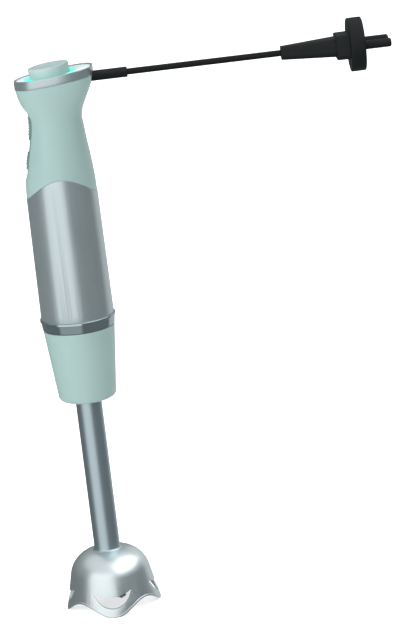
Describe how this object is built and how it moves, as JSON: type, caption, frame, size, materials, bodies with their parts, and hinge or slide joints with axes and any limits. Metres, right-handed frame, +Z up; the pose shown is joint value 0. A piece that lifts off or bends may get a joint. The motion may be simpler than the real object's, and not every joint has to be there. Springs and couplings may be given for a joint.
{
  "type": "immersion blender",
  "caption": "Hand-held immersion blender: tilted dial head, waisted grip, sleeved motor body, screw-on steel foot with bell and blade, short mains lead and plug.",
  "frame": {"origin": "centre of the circle on which the bell's four feet stand", "axes": "+Z up the long axis, which every turning part but the dial turns about; +X to the back, where the lead leaves; -X to the front, where the buttons are"},
  "size_m": [0.2749, 0.0688, 0.406],
  "materials": {
    "chrome_ring": "bright tilted ring",
    "silver_sleeve": "satin silver",
    "silver_trim": "satin silver",
    "mint_plastic": "satin grey-green",
    "soft_grip": "soft touch",
    "pale_plastic": "satin",
    "dial_plastic": "satin",
    "glow_ring": "translucent, lit",
    "inner_plastic": "moulded",
    "black_plastic": "moulded",
    "black_rubber": "satin",
    "black_cable": "satin",
    "seal_rubber": "silicone",
    "circuit_board": "solder mask",
    "zinc_steel": "zinc plated",
    "ground_steel": "ground",
    "satin_steel": "satin, bright",
    "tube_steel": "satin",
    "blade_steel": "polished edge",
    "lamination_steel": "stacked sheets",
    "aluminium": "as cast",
    "bronze": "sintered",
    "copper_wire": "enamelled",
    "nickel_brass": "nickel plated",
    "carbon": "pressed carbon"
  },
  "bodies": {
    "motor_unit": {"base_ring": "chrome_ring", "motor_sleeve": "silver_sleeve", "handle_shell_left": "mint_plastic", "handle_shell_right": "mint_plastic", "button_panel": "soft_grip", "trim_ring": "silver_trim", "head_deck": "pale_plastic", "halo_ring": "glow_ring", "head_chassis": "inner_plastic", "light_board": "circuit_board", "speed_control": "inner_plastic", "cord_tail": "black_cable", "strain_relief": "black_rubber", "cord_clamp": "inner_plastic", "clamp_screws": "zinc_steel", "cord": "black_cable", "plug_body": "black_rubber", "plug_pins": "nickel_brass", "pin_covers": "black_plastic", "control_board": "circuit_board", "heat_sink": "aluminium", "board_parts": "black_plastic", "switches": "black_plastic", "coupling_socket": "inner_plastic", "lower_motor_bracket": "aluminium", "upper_motor_bracket": "inner_plastic", "stator_core": "lamination_steel", "field_coils": "copper_wire", "motor_bearings": "bronze", "motor_bolts": "zinc_steel", "motor_cushions": "black_rubber", "brush_holders": "bronze", "carbon_brushes": "carbon", "brush_springs": "zinc_steel", "housing_screws": "zinc_steel"},
    "dial": {"speed_dial": "dial_plastic", "dial_cap": "dial_plastic", "dial_spindle": "zinc_steel"},
    "power_key": {"power_button": "soft_grip"},
    "turbo_key": {"turbo_button": "soft_grip"},
    "rotor": {"motor_shaft": "ground_steel", "rotor_core": "lamination_steel", "rotor_winding": "copper_wire", "commutator": "bronze", "cooling_fan": "inner_plastic", "motor_driver": "black_plastic"},
    "seal": {"foot_seal": "seal_rubber"},
    "foot": {"bell": "satin_steel", "bell_hub": "inner_plastic", "foot_tube": "tube_steel", "foot_collar": "mint_plastic", "foot_spigot": "inner_plastic", "shaft_steady": "inner_plastic", "shaft_bushes": "bronze", "shaft_seal": "seal_rubber"},
    "blade_shaft": {"drive_shaft": "ground_steel", "foot_driver": "black_plastic", "blade": "blade_steel", "blade_fixings": "blade_steel"}
  },
  "joints": [
    {"name": "dial_turn", "type": "hinge", "parent": "motor_unit", "child": "dial", "pos_m": [0.002, 0, 0.3924], "axis": [0.0958, 0, -0.9954], "range_deg": [0, 270]},
    {"name": "power_press", "type": "slide", "parent": "motor_unit", "child": "power_key", "axis": [1, 0, 0], "range_m": [0, 0.0015], "stiffness_N_per_m": 1500, "springref_m": -0.0004},
    {"name": "turbo_press", "type": "slide", "parent": "motor_unit", "child": "turbo_key", "axis": [1, 0, 0], "range_m": [0, 0.0015], "stiffness_N_per_m": 1500, "springref_m": -0.0004},
    {"name": "rotor_spin", "type": "hinge", "parent": "motor_unit", "child": "rotor", "pos_m": [0, 0, 0.266], "axis": [0, 0, 1], "continuous": true},
    {"name": "foot_drop", "type": "slide", "parent": "motor_unit", "child": "seal", "axis": [0, 0, -1], "range_m": [0, 0.0221]},
    {"name": "foot_twist", "type": "hinge", "parent": "seal", "child": "foot", "pos_m": [0, 0, 0.21], "axis": [0, 0, -1], "range_deg": [0, 330]},
    {"name": "blade_spin", "type": "hinge", "parent": "foot", "child": "blade_shaft", "pos_m": [0, 0, 0.1], "axis": [0, 0, 1], "continuous": true}
  ],
  "couplings": [
    {"joint": "foot_drop", "follows": "foot_twist", "m_per_rad": 0.0038197},
    {"joint": "blade_spin", "follows": "rotor_spin", "ratio": 1}
  ]
}
